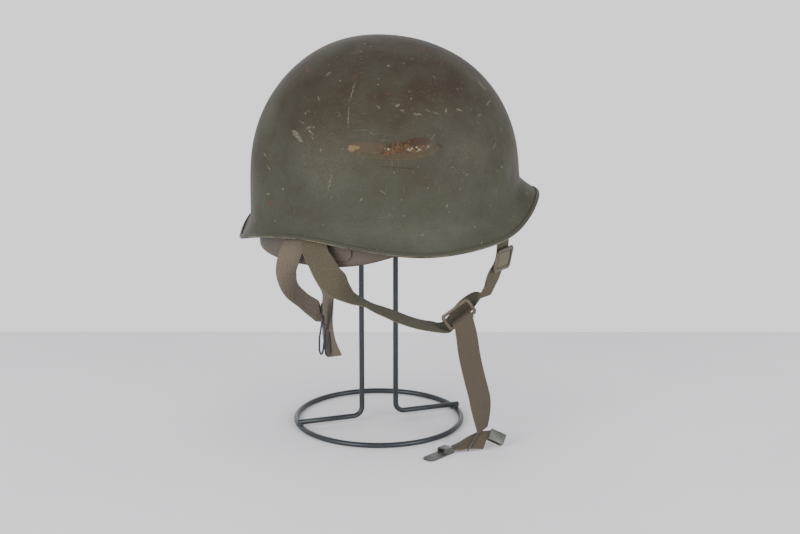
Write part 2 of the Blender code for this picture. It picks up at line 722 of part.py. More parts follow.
def build_web_end():
    """What lies on the table: the web's folded end, its slide and a sheet clip with its pin."""
    centres, acrosses = [], []
    for forward, out, height, edge_forward, edge_out, edge_height in END_WEB_ROUTE:
        centres.append(END_SLIDE + Vector((forward, -out, height)) * CHIN_WEB_WIDTH)
        acrosses.append(Vector((edge_forward, edge_out, edge_height)))
    ribbon("end_web", centres, acrosses, CHIN_WEB_WIDTH, BROWN_WEB)

    slide_at = 2
    across = acrosses[slide_at].normalized()
    along = (centres[slide_at + 1] - centres[slide_at - 1]).normalized()
    face = across.cross(along).normalized()
    frame_slide("end_slide", centres[slide_at], across, face, CHIN_WEB_WIDTH + 5 * CLEARANCE,
                WEB_THICKNESS + 4 * CLEARANCE, CLIP_SHEET, CLIP_SHEET, ZINC)

    across = acrosses[0].normalized()
    heading = Vector((1, 0, -across.x / across.z)).normalized()
    out = across.cross(heading)
    half, sheet = CLIP_DEPTH / 2, CLIP_SHEET
    outline = ((0, -half), (CLIP_LENGTH, -half), (CLIP_LENGTH, sheet - half), (sheet, sheet - half),
               (sheet, half - sheet), (CLIP_LENGTH, half - sheet), (CLIP_LENGTH, half), (0, half))
    start = centres[0] + heading * CLEARANCE + across * (CHIN_WEB_WIDTH - CLIP_WIDTH) * 0.65
    sheet_solid("end_clip", outline, start, heading, out, CLIP_WIDTH, ZINC)
    pin = [(CLIP_PIN / 2 * math.cos(math.pi * k / 4), CLIP_PIN / 2 * math.sin(math.pi * k / 4))
           for k in range(8)]
    sheet_solid("clip_pin", pin, start + heading * (CLIP_LENGTH - CLIP_PIN), heading, out,
                CLIP_WIDTH, DULL_METAL)


def build_hook_plate():
    """Steel plate flat on the table, with the raised bridge that the web's gathered tip goes into."""
    up = Vector((0, 0, 1))
    heading = Vector((-0.66, -0.75, 0)).normalized()
    side = heading.cross(up)
    half_long, half_wide = PLATE_LENGTH / 2, PLATE_WIDTH / 2
    cut = half_wide * 0.45
    outline = ((-half_long, -half_wide), (half_long - cut, -half_wide), (half_long, -half_wide + cut),
               (half_long, half_wide - cut), (half_long - cut, half_wide), (-half_long, half_wide))
    middle = PLATE_CENTRE + up * (TABLE_GAP + PLATE_THICKNESS / 2)
    plate = sheet_solid("hook_plate", outline, middle, heading, side, PLATE_THICKNESS, DULL_METAL)

    wall, top, inner = PLATE_THICKNESS, BRIDGE_HEIGHT, half_wide - PLATE_THICKNESS
    arch = ((-half_wide, 0), (-half_wide, top - wall), (wall - half_wide, top),
            (half_wide - wall, top), (half_wide, top - wall), (half_wide, 0),
            (inner, 0), (inner, top - wall), (-inner, top - wall), (-inner, 0))
    seat = middle - heading * (half_long - BRIDGE_LENGTH * 0.55)
    bridge = sheet_solid("guide_bridge", arch, seat, side, up, BRIDGE_LENGTH, DULL_METAL)
    join_solids(plate, [bridge])


build_shell()
build_edge_strip()
build_liner()
build_liner_plate()
build_stand()
build_chin_loop()
build_yoke()
build_junction()
build_web_end()
build_hook_plate()
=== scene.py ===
"""Looks of a combat helmet that rests on a wire stand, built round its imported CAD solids.

Metres, +Z up, +X to the front of the helmet and -Y to the wearer's right, which faces the camera.
The file follows the helmet as it is put together: the place it stands in, the steel shell with its
edge strip, the liner inside it, the stand that bears both, and the webs with their fittings.
"""
import math

import bmesh
import bpy
from mathutils import Matrix, Vector, noise


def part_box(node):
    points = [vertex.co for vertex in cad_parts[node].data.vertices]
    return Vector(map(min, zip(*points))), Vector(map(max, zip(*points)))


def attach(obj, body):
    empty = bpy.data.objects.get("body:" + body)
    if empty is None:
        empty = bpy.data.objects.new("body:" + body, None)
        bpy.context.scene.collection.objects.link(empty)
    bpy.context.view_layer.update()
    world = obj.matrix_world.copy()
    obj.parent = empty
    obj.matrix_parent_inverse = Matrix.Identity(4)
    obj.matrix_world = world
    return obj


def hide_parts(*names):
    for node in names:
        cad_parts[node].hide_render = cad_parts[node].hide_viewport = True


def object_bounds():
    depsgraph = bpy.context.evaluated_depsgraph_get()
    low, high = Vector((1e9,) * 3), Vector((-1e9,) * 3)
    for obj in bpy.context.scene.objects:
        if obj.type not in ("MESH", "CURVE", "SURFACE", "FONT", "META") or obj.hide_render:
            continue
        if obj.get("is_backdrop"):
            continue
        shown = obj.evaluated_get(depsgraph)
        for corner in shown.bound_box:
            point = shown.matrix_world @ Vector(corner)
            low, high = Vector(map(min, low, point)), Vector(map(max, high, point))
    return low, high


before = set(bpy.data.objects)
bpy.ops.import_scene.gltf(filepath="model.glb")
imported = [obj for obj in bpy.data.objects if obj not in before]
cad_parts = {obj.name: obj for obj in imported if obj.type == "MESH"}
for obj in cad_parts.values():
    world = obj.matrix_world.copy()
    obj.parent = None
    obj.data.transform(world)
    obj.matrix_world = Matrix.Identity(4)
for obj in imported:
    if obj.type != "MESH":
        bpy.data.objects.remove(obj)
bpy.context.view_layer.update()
scene = bpy.context.scene

# The place: a white-covered table in front of a pale wall, a camera a little above the helmet's
# middle, and broad soft lights to both sides of it.
CAMERA_PLACE = (0.0102, -2.1, 0.745)
CAMERA_DIP = 15.78
CAMERA_LENS = 104.6
TABLE_BACK = 0.31
TABLE_FRONT = -1.3
TABLE_HALF_WIDTH = 0.75
TABLE_CORNER = 0.30
TABLE_DROP = 0.30
TABLE_ROUND = 0.035

camera = bpy.data.objects.new("camera", bpy.data.cameras.new("camera"))
camera.data.sensor_width = 36.0
camera.data.lens = CAMERA_LENS
camera.data.clip_end = 50.0
camera.location = CAMERA_PLACE
camera.rotation_euler = (math.radians(90 - CAMERA_DIP), 0, 0)
scene.collection.objects.link(camera)
scene.camera = camera


def linear(colour):
    """Linear colour of an sRGB hex value."""
    parts = [int(colour[i:i + 2], 16) / 255 for i in (1, 3, 5)]
    return (*(p / 12.92 if p <= 0.04045 else ((p + 0.055) / 1.055) ** 2.4 for p in parts), 1.0)


def add_node(tree, kind, inputs, **settings):
    """Adds a shader node with its settings; each input is a value, a node or one of its outputs."""
    made = tree.nodes.new("ShaderNode" + kind)
    for name, value in settings.items():
        setattr(made, name, value)
    for name, value in inputs.items():
        if isinstance(value, bpy.types.Node):
            value = value.outputs[0]
        if isinstance(value, bpy.types.NodeSocket):
            tree.links.new(value, made.inputs[name])
        else:
            made.inputs[name].default_value = value
    return made


def new_finish(name):
    """A new material with its node tree and its main shader."""
    made = bpy.data.materials.new(name)
    made.use_nodes = True
    return made, made.node_tree, made.node_tree.nodes["Principled BSDF"]


def mesh_piece(name, points, faces, finish):
    """Smooth-shaded mesh object from points and faces, its faces turned outwards."""
    mesh = bpy.data.meshes.new(name)
    mesh.from_pydata([tuple(p) for p in points], [], faces)
    shape = bmesh.new()
    shape.from_mesh(mesh)
    bmesh.ops.recalc_face_normals(shape, faces=shape.faces)
    shape.to_mesh(mesh)
    shape.free()
    mesh.shade_smooth()
    mesh.materials.append(finish)
    made = bpy.data.objects.new(name, mesh)
    scene.collection.objects.link(made)
    return made


# White cotton sheet: plain weave too fine to see, so only a soft unevenness of its white
sheet, tree, shader = new_finish("white_cotton_table_cover")
place = add_node(tree, "TexCoord", {}).outputs["Object"]
drift = add_node(tree, "TexNoise", {"Vector": place, "Scale": 5.0, "Detail": 3.0})
shade = add_node(tree, "MixRGB", {"Fac": drift, "Color1": linear("#e6e5e8"), "Color2": linear("#f2f1f3")})
tree.links.new(shade.outputs[0], shader.inputs["Base Color"])
shader.inputs["Roughness"].default_value = 0.9
shader.inputs["Specular IOR Level"].default_value = 0.15

outline = []
for sx, sy, turn in ((1, 1, 0), (-1, 1, 90), (-1, -1, 180), (1, -1, 270)):
    middle_x = sx * (TABLE_HALF_WIDTH - TABLE_CORNER)
    middle_y = TABLE_BACK - TABLE_CORNER if sy > 0 else TABLE_FRONT + TABLE_CORNER
    for step in range(13):
        angle = math.radians(turn + 7.5 * step)
        outline.append((middle_x, middle_y, math.cos(angle), math.sin(angle)))
points, faces = [], []
levels = [(0.0, -TABLE_DROP)]
levels += [(TABLE_ROUND * (1 - math.sin(a)), TABLE_ROUND * (math.cos(a) - 1))
           for a in (math.pi / 2 * (1 - k / 6) for k in range(7))]
for inset, height in levels:
    for middle_x, middle_y, across, along in outline:
        reach = TABLE_CORNER - inset
        points.append((middle_x + across * reach, middle_y + along * reach, height))
count = len(outline)
for row in range(len(levels) - 1):
    for i in range(count):
        j = (i + 1) % count
        a, b = row * count, (row + 1) * count
        faces.append((a + i, a + j, b + j, b + i))
faces.append(tuple((len(levels) - 1) * count + i for i in range(count)))
table = mesh_piece("table_cover", points, faces, sheet)
table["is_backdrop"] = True

LIGHTS = (
    # name, place, how wide, watts
    ("softbox_left", (-1.6, -2.0, 0.95), 1.5, 54.0),
    ("softbox_right", (1.8, -1.8, 0.9), 1.4, 46.0),
    ("softbox_over", (0.1, 0.3, 2.6), 2.2, 16.0),
    ("softbox_behind", (-0.5, 2.4, 1.3), 2.0, 12.0),
)
LIGHTS_AIM = Vector((0, 0, 0.2))
for name, spot, wide, watts in LIGHTS:
    lamp = bpy.data.lights.new(name, "AREA")
    lamp.size = wide
    lamp.energy = watts
    lit = bpy.data.objects.new(name, lamp)
    lit.location = spot
    lit.rotation_euler = (LIGHTS_AIM - Vector(spot)).to_track_quat("-Z", "Y").to_euler()
    scene.collection.objects.link(lit)

world = bpy.data.worlds.new("pale_room")
world.use_nodes = True
facing = add_node(world.node_tree, "SeparateXYZ", {
    "Vector": add_node(world.node_tree, "TexCoord", {}).outputs["Generated"]})
ceiling = add_node(world.node_tree, "MapRange", {"Value": facing.outputs["Z"], "From Min": 0.0,
                                                 "From Max": 0.85})
room = add_node(world.node_tree, "MixRGB", {"Fac": ceiling, "Color1": linear("#e0dfe2"),
                                            "Color2": linear("#9c9ba0")})
world.node_tree.links.new(room.outputs[0], world.node_tree.nodes["Background"].inputs["Color"])
world.node_tree.nodes["Background"].inputs["Strength"].default_value = 1.75
scene.world = world

# Shell: a bowl deep-drawn from manganese steel, sprayed matt olive over a gritty primer. Years of
# knocks have chipped the paint, and a long shallow gouge on the side has rusted.
GRIT_MM = 0.9
MOTTLE_MM = 42.0
JAGS_PER_METRE = 760.0
JAG_REACH = 0.0052
FLECKS_PER_METRE = 140.0
FRECKLES_PER_METRE = 46.0
RUST_CLUMPS_PER_METRE = 190.0
GLINTS_PER_METRE = 330.0
PAINT_FOOT = 0.20
PAINT_CROWN = 0.372
NEAR_SIDE = -0.004
SIDE_MARK_REACH = 1000.0

SCRATCHES = (
    # streaks to the metre along x, y and z, their lean, and their patches to the metre
    ((520.0, 520.0, 26.0), 0.30, 27.0), ((60.0, 500.0, 560.0), -0.45, 19.5),
    ((640.0, 640.0, 40.0), -0.75, 16.5),
)
SCUFFS = (
    # middle, and how far from it the haze ends
    ((-0.060, -0.098, 0.280), 0.040), ((0.080, -0.085, 0.282), 0.026),
)

# Marks on the wearer's right side, in mm: forward, up, half its length, half its width, and how
# many degrees its length rises towards the front
PALE_MARKS = (
    (-83, 297.5, 4.4, 1.5, -12), (-81.5, 294.6, 5.4, 1.9, -28), (-78.5, 291.4, 3.2, 1.2, -20),
    (-70.5, 303, 3.4, 1.0, 22), (-69, 299.4, 3.2, 0.9, -35), (-66.5, 303.6, 1.5, 1.2, 0),
    (-77, 306.4, 3.8, 0.5, -14), (-32, 334.5, 10.2, 0.45, 72), (-35.4, 314.5, 10.4, 0.42, 87),
    (-51.5, 259, 11.4, 0.42, 77), (84, 331, 7.8, 0.42, -50), (90, 317, 2.6, 0.8, 35),
    (95, 282, 3.2, 0.5, 60), (8, 324, 2.4, 0.9, 25), (12, 320, 2.4, 0.6, 0),
    (26, 316.5, 4.0, 0.8, -6), (35, 319, 2.6, 0.6, -24), (42, 316.6, 3.4, 0.7, -18),
    (51, 318, 1.9, 0.9, 70), (63, 317, 3.4, 0.8, -22), (-9, 323, 2.4, 0.7, -25),
    (-54, 346, 3.5, 0.6, 35), (-43, 342, 1.2, 0.8, 0), (-62, 327, 2.7, 0.6, -58),
    (-71, 316, 1.7, 0.5, 30), (-112, 272, 2.8, 0.7, -40), (-108, 262, 3.2, 0.5, -52),
    (-24, 244, 2.0, 0.9, 45), (1, 231, 2.7, 0.5, -42), (30, 211.5, 2.5, 0.8, 42),
    (-5, 251, 4.4, 0.42, -36), (52, 236, 2.1, 0.7, 82), (54, 230.5, 1.3, 0.5, 0),
    (81, 310, 1.2, 0.9, 0), (0, 354, 1.4, 1.0, 0), (-109, 238, 2.6, 1.0, 28),
    (39, 297, 3.4, 0.5, 38), (56, 270, 2.2, 0.5, 15), (102, 262, 1.4, 0.6, -30),
    (20, 329, 1.3, 0.8, 20), (70, 262, 1.6, 0.5, 50), (-40, 288, 2.0, 0.45, 60),
)
RUST_MARKS = (
    (-28, 362.5, 3.2, 1.6, 10), (29, 363, 3.6, 1.1, -8), (33, 357, 2.4, 1.4, -20),
    (47, 352, 2.2, 1.2, 10), (-30, 345.5, 3.2, 1.6, 40), (21, 321, 1.6, 1.7, 0),
    (50, 318.5, 1.2, 1.4, 0), (-107, 230, 3.8, 2.6, 10), (23, 303.5, 1.4, 2.2, 80),
    (-1, 333.5, 2.8, 1.4, -20), (-12, 331.5, 2.0, 1.1, 30), (-73, 346, 3.0, 2.0, 0),
    (15, 214.5, 1.6, 1.0, 0), (66, 337, 1.6, 0.9, 0),
)
DARK_MARKS = (
    (112, 250, 3.4, 0.7, 86), (45.5, 289.5, 3.8, 1.2, -42), (7, 272.6, 19.0, 0.5, -5),
    (-12.5, 291.5, 4.6, 0.6, -58), (94, 214, 1.4, 0.7, 0),
)
# The gouge has bare primer at its rear end, then scorched brown skin, then rust over raw steel
GOUGE_SKIN = ((-19, 289.6, 17, 4.8, -2),)
GOUGE_STAIN = ((12, 284.5, 30, 6.5, 1),)
GOUGE_SEAM = ((5, 293, 42, 13.5, -1),)
GOUGE_RUST = ((15, 289.4, 26, 6.2, 3), (25, 293.6, 14, 5.0, 5), (-3, 285.0, 6, 2.6, -8))
GOUGE_GLINTS = ((27, 288.4, 12, 2.8, 3), (1, 286.4, 5, 2.2, -30))
GOUGE_PRIMER = ((-32.6, 288.6, 3.6, 3.0, 20), (-28.6, 289.6, 3.4, 1.8, -8))
SEAM_TOP = 0.2890
SEAM_FULL = 0.2860
GOUGE_FOOT = 0.2830
GOUGE_TOP = 0.2975


def mark_field(tree, marks, coordinates):
    """Distance to the nearest of some marks, 1 at its edge, drawn through from the side."""
    nearest = None
    for forward, up, half_long, half_wide, tilt in marks:
        seat = add_node(tree, "Mapping", {
            "Vector": coordinates, "Location": (forward / 1000, 0, up / 1000),
            "Rotation": (0, -math.radians(tilt), 0),
            "Scale": (half_long / 1000, SIDE_MARK_REACH, half_wide / 1000)}, vector_type="TEXTURE")
        reach = add_node(tree, "VectorMath", {0: seat}, operation="LENGTH").outputs["Value"]
        if nearest is None:
            nearest = reach
        else:
            nearest = add_node(tree, "Math", {0: nearest, 1: reach}, operation="MINIMUM").outputs[0]
    return nearest


def inside(tree, field, solid, clear, near_side):
    """Mask of a field, 1 up to one value and 0 from another, on the marked side alone."""
    mask = add_node(tree, "MapRange", {"Value": field, "From Min": clear, "From Max": solid},
                    interpolation_type="SMOOTHSTEP")
    return add_node(tree, "Math", {0: mask, 1: near_side}, operation="MULTIPLY").outputs[0]


def sprayed_olive(tree, place, height, grit):
    """Colour and roughness of the olive: darker and browner to the crown and greyer to the foot, partly
    the paint's own hue and partly painted shade.
    """
    clouds = add_node(tree, "TexNoise", {"Vector": place, "Scale": 1000 / MOTTLE_MM, "Detail": 7.0,
                                         "Roughness": 0.62})
    # Painted shade: the olive darkens with height, so the crown, which gets less light, is painted in
    # shade as well as a browner olive
    share = add_node(tree, "MapRange", {"Value": height, "From Min": PAINT_FOOT,
                                        "From Max": PAINT_CROWN})
    rise = add_node(tree, "Math", {0: share, 1: 0.75}, operation="MULTIPLY")
    sway = add_node(tree, "MapRange", {"Value": clouds, "From Min": 0.32, "From Max": 0.68,
                                       "To Min": -0.12, "To Max": 0.55})
    crown_shade_and_brown = add_node(tree, "Math", {0: rise, 1: sway}, operation="ADD", use_clamp=True)
    body = add_node(tree, "MixRGB", {"Fac": crown_shade_and_brown, "Color1": linear("#3f4034"),
                                     "Color2": linear("#2f271b")})
    speckle = add_node(tree, "MapRange", {"Value": grit, "From Min": 0.36, "From Max": 0.66,
                                          "To Min": 0.86, "To Max": 1.12})
    body = add_node(tree, "MixRGB", {"Fac": 1.0, "Color1": body, "Color2": speckle}, blend_type="MULTIPLY")
    gloss = add_node(tree, "MapRange", {"Value": clouds, "To Min": 0.56, "To Max": 0.70})
    return body, gloss


def knocked_and_scuffed(tree, body, place, ragged, crumbled):
    """Olive with its small wear: flecks, hairline scratches, scuffed patches and rust freckles."""
    # Dust and tiny knocks: one cell in a few holds a pale fleck, drawn about twice too big
    flecks = add_node(tree, "TexVoronoi", {"Vector": ragged, "Scale": FLECKS_PER_METRE,
                                           "Randomness": 1.0})
    fleck_pick = add_node(tree, "SeparateColor", {"Color": flecks.outputs["Color"]})
    picked = add_node(tree, "Math", {0: fleck_pick, 1: 0.55}, operation="GREATER_THAN")
    fleck_size = add_node(tree, "MapRange", {"Value": flecks.outputs["Distance"], "From Min": 0.13,
                                             "From Max": 0.06})
    fleck = add_node(tree, "Math", {0: fleck_size, 1: picked}, operation="MULTIPLY")
    fleck = add_node(tree, "Math", {0: fleck, 1: fleck_pick.outputs[1]}, operation="MULTIPLY")
    body = add_node(tree, "MixRGB", {"Fac": fleck, "Color1": body, "Color2": linear("#766f58")})

    # Hairline scratches, thin streaks in three directions that come and go
    for streaks_per_metre, lean, patches_per_metre in SCRATCHES:
        along = add_node(tree, "Mapping", {"Vector": place, "Rotation": (0.1, lean, 0.2),
                                           "Scale": streaks_per_metre})
        streaks = add_node(tree, "TexNoise", {"Vector": along, "Scale": 1.0, "Detail": 2.0})
        hair = add_node(tree, "MapRange", {"Value": streaks, "From Min": 0.64, "From Max": 0.74,
                                           "To Max": 0.5})
        where = add_node(tree, "TexNoise", {"Vector": place, "Scale": patches_per_metre, "Detail": 2.0})
        patch = add_node(tree, "MapRange", {"Value": where, "From Min": 0.50, "From Max": 0.64})
        hair = add_node(tree, "Math", {0: hair, 1: patch}, operation="MULTIPLY")
        body = add_node(tree, "MixRGB", {"Fac": hair, "Color1": body, "Color2": linear("#5c5845")})

    # Two patches where handling has scuffed the paint to a dusty haze
    for middle, reach in SCUFFS:
        away = add_node(tree, "VectorMath", {0: ragged, 1: middle}, operation="DISTANCE").outputs["Value"]
        haze = add_node(tree, "MapRange", {"Value": away, "From Min": reach, "From Max": reach / 3,
                                           "To Max": 0.20})
        haze = add_node(tree, "Math", {0: haze, 1: crumbled}, operation="MULTIPLY")
        body = add_node(tree, "MixRGB", {"Fac": haze, "Color1": body, "Color2": linear("#605e4d")})

    # Rust freckles that bloom through the paint here and there
    freckles = add_node(tree, "TexVoronoi", {"Vector": ragged, "Scale": FRECKLES_PER_METRE})
    freckle_pick = add_node(tree, "SeparateColor", {"Color": freckles.outputs["Color"]})
    rusted = add_node(tree, "Math", {0: freckle_pick, 1: 0.80}, operation="GREATER_THAN")
    freckle_size = add_node(tree, "MapRange", {"Value": freckles.outputs["Distance"], "From Min": 0.13,
                                               "From Max": 0.04, "To Max": 0.7})
    freckle = add_node(tree, "Math", {0: freckle_size, 1: rusted}, operation="MULTIPLY")
    return add_node(tree, "MixRGB", {"Fac": freckle, "Color1": body, "Color2": linear("#42301f")})


def gouge_surround(tree, body, height, ragged, jags, shift, near_side):
    """Olive round the gouge: scorched brown skin, a rusty stain and the thin rusted seam under it."""
    skin = inside(tree, mark_field(tree, GOUGE_SKIN, ragged), 0.75, 1.1, near_side)
    skin = add_node(tree, "Math", {0: skin, 1: 0.42}, operation="MULTIPLY")
    body = add_node(tree, "MixRGB", {"Fac": skin, "Color1": body, "Color2": linear("#4b3a27")})
    stain = inside(tree, mark_field(tree, GOUGE_STAIN, ragged), 0.5, 1.1, near_side)
    stain = add_node(tree, "Math", {0: stain, 1: 0.35}, operation="MULTIPLY")
    body = add_node(tree, "MixRGB", {"Fac": stain, "Color1": body, "Color2": linear("#46371f")})

    # The seam follows the lower edge of an oval, wavering in width and broken in places
    off_edge = add_node(tree, "Math", {0: mark_field(tree, GOUGE_SEAM, ragged), 1: 1.0},
                        operation="SUBTRACT")
    off_edge = add_node(tree, "Math", {0: off_edge}, operation="ABSOLUTE")
    waver = add_node(tree, "MapRange", {"Value": shift, "From Min": 0.35, "From Max": 0.65,
                                        "To Min": -0.03, "To Max": 0.05})
    off_edge = add_node(tree, "Math", {0: off_edge, 1: waver}, operation="ADD")
    seam = inside(tree, off_edge, 0.01, 0.06, near_side)
    lower = add_node(tree, "MapRange", {"Value": height, "From Min": SEAM_TOP, "From Max": SEAM_FULL})
    seam = add_node(tree, "Math", {0: seam, 1: lower}, operation="MULTIPLY")
    broken = add_node(tree, "MapRange", {"Value": jags, "From Min": 0.38, "From Max": 0.60})
    seam = add_node(tree, "Math", {0: seam, 1: broken}, operation="MULTIPLY")
    return add_node(tree, "MixRGB", {"Fac": seam, "Color1": body, "Color2": linear("#4d3a1c")})


def rusted_steel(tree, place, height, ragged, shift, near_side):
    """Rust in the gouge, ochre below and a dark scab above, and the glints of bare steel in it."""
    band = add_node(tree, "MapRange", {"Value": height, "From Min": GOUGE_FOOT, "From Max": GOUGE_TOP})
    wander = add_node(tree, "MapRange", {"Value": shift, "From Min": 0.3, "From Max": 0.7,
                                         "To Min": -0.62, "To Max": 0.62})
    band = add_node(tree, "Math", {0: band, 1: wander}, operation="ADD")
    ochre = add_node(tree, "MapRange", {"Value": band, "From Min": 0.05, "From Max": 0.28})
    scab = add_node(tree, "MapRange", {"Value": band, "From Min": 0.36, "From Max": 0.58})
    rust = add_node(tree, "MixRGB", {"Fac": ochre, "Color1": linear("#35241a"),
                                     "Color2": linear("#4e3a20")})
    rust = add_node(tree, "MixRGB", {"Fac": scab, "Color1": rust, "Color2": linear("#301d0f")})
    glint = add_node(tree, "TexNoise", {"Vector": place, "Scale": GLINTS_PER_METRE, "Detail": 3.0})
    glint = add_node(tree, "MapRange", {"Value": glint, "From Min": 0.56, "From Max": 0.62})
    rubbed_here = inside(tree, mark_field(tree, GOUGE_GLINTS, ragged), 0.6, 1.1, near_side)
    glint = add_node(tree, "Math", {0: glint, 1: rubbed_here}, operation="MULTIPLY")
    rust = add_node(tree, "MixRGB", {"Fac": glint, "Color1": rust, "Color2": linear("#918b7b")})
    return rust, glint


def shell_paint(name, pale, rusty, dark, gouged):
    """Matt olive paint, which scatters light, with the marks that one part of the shell carries."""
    finish, tree, shader = new_finish(name)
    place = add_node(tree, "TexCoord", {}).outputs["Object"]
    spread = add_node(tree, "SeparateXYZ", {"Vector": place})
    height = spread.outputs["Z"]
    near_side = add_node(tree, "Math", {0: spread.outputs["Y"], 1: NEAR_SIDE}, operation="LESS_THAN")
    grit = add_node(tree, "TexNoise", {"Vector": place, "Scale": 1000 / GRIT_MM, "Detail": 3.0})
    # Chips and scuffs break up along the grit
    crumbled = add_node(tree, "MapRange", {"Value": grit, "From Min": 0.38, "From Max": 0.56,
                                           "To Min": 0.1, "To Max": 0.8})
    jags = add_node(tree, "TexNoise", {"Vector": place, "Scale": JAGS_PER_METRE, "Detail": 4.0,
                                       "Roughness": 0.8})
    jag_step = add_node(tree, "VectorMath", {0: jags.outputs["Color"], 1: (0.5, 0.5, 0.5)},
                        operation="SUBTRACT")
    jag_push = add_node(tree, "VectorMath", {0: jag_step, "Scale": JAG_REACH}, operation="SCALE")
    ragged = add_node(tree, "VectorMath", {0: place, 1: jag_push}, operation="ADD")

    body, gloss = sprayed_olive(tree, place, height, grit)
    body = knocked_and_scuffed(tree, body, place, ragged, crumbled)
    relief = add_node(tree, "Math", {0: grit, 1: 0.35}, operation="MULTIPLY")
    for marks, solid, clear, deep, low_tone, high_tone in (
            (rusty, 0.30, 1.25, -0.4, "#432c1d", "#553822"), (pale, 0.50, 1.10, 0.5, "#565240", "#7e7a69"),
            (dark, 0.6, 1.2, 0.8, "#241a13", "#30261c")):
        if marks:
            loss = inside(tree, mark_field(tree, marks, ragged), solid, clear, near_side)
            loss = add_node(tree, "Math", {0: loss, 1: crumbled}, operation="MULTIPLY")
            tone = add_node(tree, "MixRGB", {"Fac": grit, "Color1": linear(low_tone),
                                             "Color2": linear(high_tone)})
            body = add_node(tree, "MixRGB", {"Fac": loss, "Color1": body, "Color2": tone})
            cut = add_node(tree, "Math", {0: loss, 1: deep}, operation="MULTIPLY")
            relief = add_node(tree, "Math", {0: relief, 1: cut}, operation="SUBTRACT")

    if gouged:
        shift = add_node(tree, "TexNoise", {"Vector": place, "Scale": RUST_CLUMPS_PER_METRE,
                                            "Detail": 4.0, "Roughness": 0.7})
        body = gouge_surround(tree, body, height, ragged, jags, shift, near_side)
        core = inside(tree, mark_field(tree, GOUGE_RUST, ragged), 0.55, 1.06, near_side)
        rust, glint = rusted_steel(tree, place, height, ragged, shift, near_side)
        body = add_node(tree, "MixRGB", {"Fac": core, "Color1": body, "Color2": rust})
        primer = inside(tree, mark_field(tree, GOUGE_PRIMER, ragged), 0.8, 1.1, near_side)
        tone = add_node(tree, "MixRGB", {"Fac": shift, "Color1": linear("#4f3b22"),
                                         "Color2": linear("#74654a")})
        body = add_node(tree, "MixRGB", {"Fac": primer, "Color1": body, "Color2": tone})
        gloss = add_node(tree, "MixRGB", {"Fac": core, "Color1": gloss, "Color2": (0.42, 0.42, 0.42, 1)})
        bare = add_node(tree, "Math", {0: glint, 1: 0.5}, operation="MULTIPLY")
        bare = add_node(tree, "Math", {0: bare, 1: core}, operation="MULTIPLY")
        tree.links.new(bare.outputs[0], shader.inputs["Metallic"])
        for loss, deep in ((core, 0.5), (primer, -0.8)):
            cut = add_node(tree, "Math", {0: loss, 1: deep}, operation="MULTIPLY")
            relief = add_node(tree, "Math", {0: relief, 1: cut}, operation="SUBTRACT")
        crumb = add_node(tree, "Math", {0: shift, 1: core}, operation="MULTIPLY")
        relief = add_node(tree, "Math", {0: relief, 1: crumb}, operation="ADD")

    # Matt paint scatters the light, so that only the rubbed steel in the gouge glints
    tree.links.new(body.outputs[0], shader.inputs["Base Color"])
    tree.links.new(gloss.outputs[0], shader.inputs["Roughness"])
    shader.inputs["Specular IOR Level"].default_value = 0.25
    bump = add_node(tree, "Bump", {"Height": relief, "Strength": 0.5, "Distance": 0.0005})
    tree.links.new(bump.outputs[0], shader.inputs["Normal"])
    return finish


def cad_shape(node):
    """The mesh of a CAD node with its split points merged."""
    shape = bmesh.new()
    shape.from_mesh(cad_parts[node].data)
    bmesh.ops.remove_doubles(shape, verts=shape.verts, dist=1e-5)
    return shape


def smooth_bowl(node, name, finish, crease_degrees=50.0):
    """Smooth copy of a bowl or strip whose triangles were four-sided patches."""
    shape = cad_shape(node)
    bmesh.ops.join_triangles(shape, faces=shape.faces, angle_face_threshold=math.radians(40),
                             angle_shape_threshold=math.radians(60))
    creases = shape.edges.layers.float.new("crease_edge")
    for edge in shape.edges:
        if len(edge.link_faces) == 2 and edge.calc_face_angle() > math.radians(crease_degrees):
            edge[creases] = 0.8
    mesh = bpy.data.meshes.new(name)
    shape.to_mesh(mesh)
    shape.free()
    mesh.shade_smooth()
    mesh.materials.clear()
    mesh.materials.append(finish)
    made = bpy.data.objects.new(name, mesh)
    scene.collection.objects.link(made)
    finer = made.modifiers.new("finer", "SUBSURF")
    finer.levels = finer.render_levels = 2
    bpy.context.view_layer.update()
    made.data = bpy.data.meshes.new_from_object(made.evaluated_get(bpy.context.evaluated_depsgraph_get()))
    made.modifiers.clear()
    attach(made, "root")
    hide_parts(node)
    return made


# The shell is painted in upright zones, front to rear, each with only the marks that reach into it:
# the renderer has no room for all of them in one material
ZONES = (
    # name, from and to along the helmet in mm, whether the gouge crosses it
    ("rear", -200, -48, False), ("rear_middle", -48, 8, True), ("front_middle", 8, 58, True),
    ("front", 58, 200, False),
)
ZONE_OVERLAP_MM = 12.0


def marks_in(marks, low, high):
    """The marks that reach into a zone."""
    return [mark for mark in marks if low - ZONE_OVERLAP_MM < mark[0] < high + ZONE_OVERLAP_MM]


far_paint = shell_paint("matt_olive_paint_on_pressed_steel", (), (), (), False)
DENT_MIDDLE = Vector((0.010, -0.100, 0.2905))
DENT_HALF_LONG = 0.040
DENT_HALF_TALL = 0.012
DENT_DEPTH = 0.0009
RIPPLES_PER_METRE = 28.0
RIPPLE_DEPTH = 0.00018
BOWL_MIDDLE_HEIGHT = 0.24

